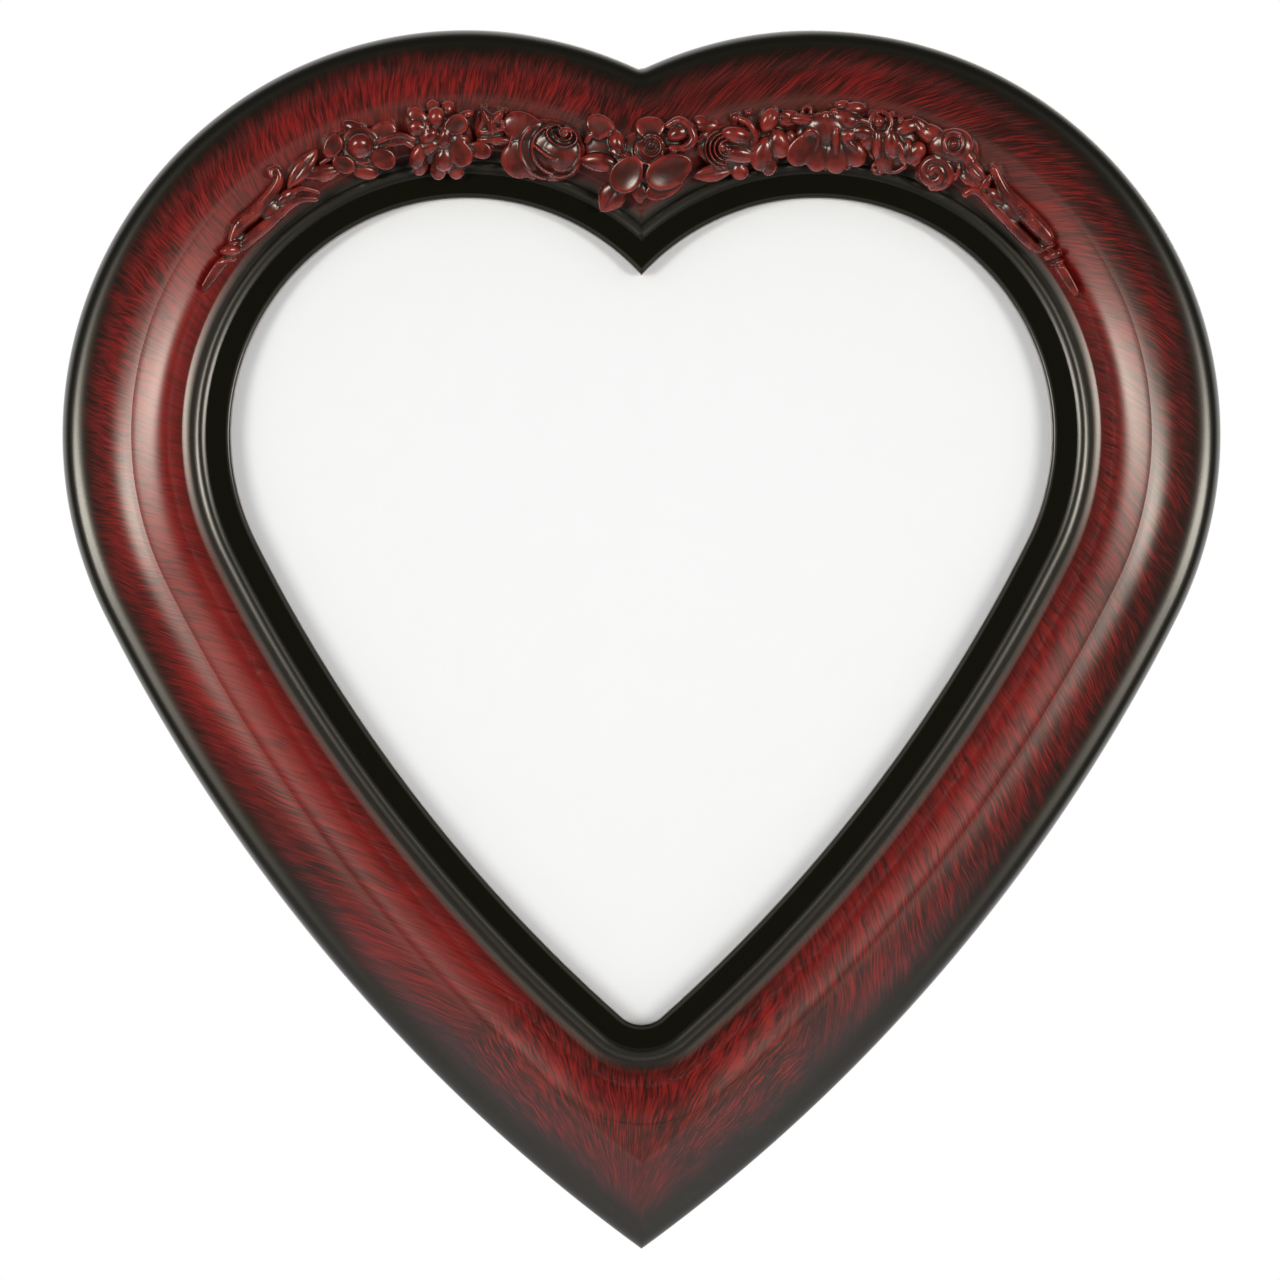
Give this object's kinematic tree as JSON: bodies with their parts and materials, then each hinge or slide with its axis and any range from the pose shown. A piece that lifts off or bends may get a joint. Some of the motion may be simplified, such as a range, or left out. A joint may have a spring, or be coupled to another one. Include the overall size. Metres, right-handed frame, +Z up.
{
  "type": "photo frame",
  "caption": "Heart-shaped wall photo frame: wide rounded lacquered moulding with a cast floral garland over the top, a glazed rebate closed by turn buttons, and swinging hanger rings.",
  "frame": {"origin": "on the wall plane, midway between the two wall hooks that take the hanger rings once they are swung up", "axes": "+Z up as hung, +X to the right as seen from the front, -Y out of the picture towards the viewer"},
  "size_m": [0.412, 0.0388, 0.4334],
  "materials": {
    "lacquered_wood": "satin lacquer, cherry-red brush strokes over dark brown, black at the shoulder and the lip",
    "cast_garland": "glossy cherry-red lacquer on cast resin, dark in the crevices",
    "glass": "clear, polished",
    "card": "plain white card",
    "hardboard": "brown hardboard",
    "plated_steel": "zinc-plated steel",
    "rubber": "matt black rubber"
  },
  "bodies": {
    "frame": {"backing_board": "hardboard", "garland_bellflower_right": "cast_garland", "garland_berries_left": "cast_garland", "garland_bud_left": "cast_garland", "garland_centre_bloom": "cast_garland", "garland_leaf_right": "cast_garland", "garland_pansy_right": "cast_garland", "garland_posy_left": "cast_garland", "garland_rose_left": "cast_garland", "garland_rose_right": "cast_garland", "garland_scroll_right": "cast_garland", "garland_tail_left": "cast_garland", "garland_tail_right": "cast_garland", "glass_pane": "glass", "hanger_screws": "plated_steel", "hanger_strap_left": "plated_steel", "hanger_strap_right": "plated_steel", "heart_moulding": "lacquered_wood", "insert_card": "card", "turn_button_screws": "plated_steel", "wall_bumper_lower_left": "rubber", "wall_bumper_lower_right": "rubber", "wall_bumper_upper_left": "rubber", "wall_bumper_upper_right": "rubber"},
    "ring_left": {"hanger_ring_left": "plated_steel"},
    "ring_right": {"hanger_ring_right": "plated_steel"},
    "button_upper_left": {"turn_button_upper_left": "plated_steel"},
    "button_upper_right": {"turn_button_upper_right": "plated_steel"},
    "button_side_left": {"turn_button_side_left": "plated_steel"},
    "button_side_right": {"turn_button_side_right": "plated_steel"},
    "button_lower_left": {"turn_button_lower_left": "plated_steel"},
    "button_lower_right": {"turn_button_lower_right": "plated_steel"}
  },
  "joints": [
    {"name": "ring_left_swing", "type": "hinge", "parent": "frame", "child": "ring_left", "pos_m": [-0.17194, -0.0028, -0.014], "axis": [1, 0, 0], "range_deg": [0, 180]},
    {"name": "ring_right_swing", "type": "hinge", "parent": "frame", "child": "ring_right", "pos_m": [0.17194, -0.0028, -0.014], "axis": [1, 0, 0], "range_deg": [0, 180]},
    {"name": "button_upper_left_turn", "type": "hinge", "parent": "frame", "child": "button_upper_left", "pos_m": [-0.07884, -0.005, 0.04151], "axis": [0, 1, 0], "continuous": true},
    {"name": "button_upper_right_turn", "type": "hinge", "parent": "frame", "child": "button_upper_right", "pos_m": [0.07884, -0.005, 0.04151], "axis": [0, 1, 0], "continuous": true},
    {"name": "button_side_left_turn", "type": "hinge", "parent": "frame", "child": "button_side_left", "pos_m": [-0.15722, -0.005, -0.07252], "axis": [0, 1, 0], "continuous": true},
    {"name": "button_side_right_turn", "type": "hinge", "parent": "frame", "child": "button_side_right", "pos_m": [0.15722, -0.005, -0.07252], "axis": [0, 1, 0], "continuous": true},
    {"name": "button_lower_left_turn", "type": "hinge", "parent": "frame", "child": "button_lower_left", "pos_m": [-0.08132, -0.005, -0.20223], "axis": [0, 1, 0], "continuous": true},
    {"name": "button_lower_right_turn", "type": "hinge", "parent": "frame", "child": "button_lower_right", "pos_m": [0.08132, -0.005, -0.20223], "axis": [0, 1, 0], "continuous": true}
  ]
}
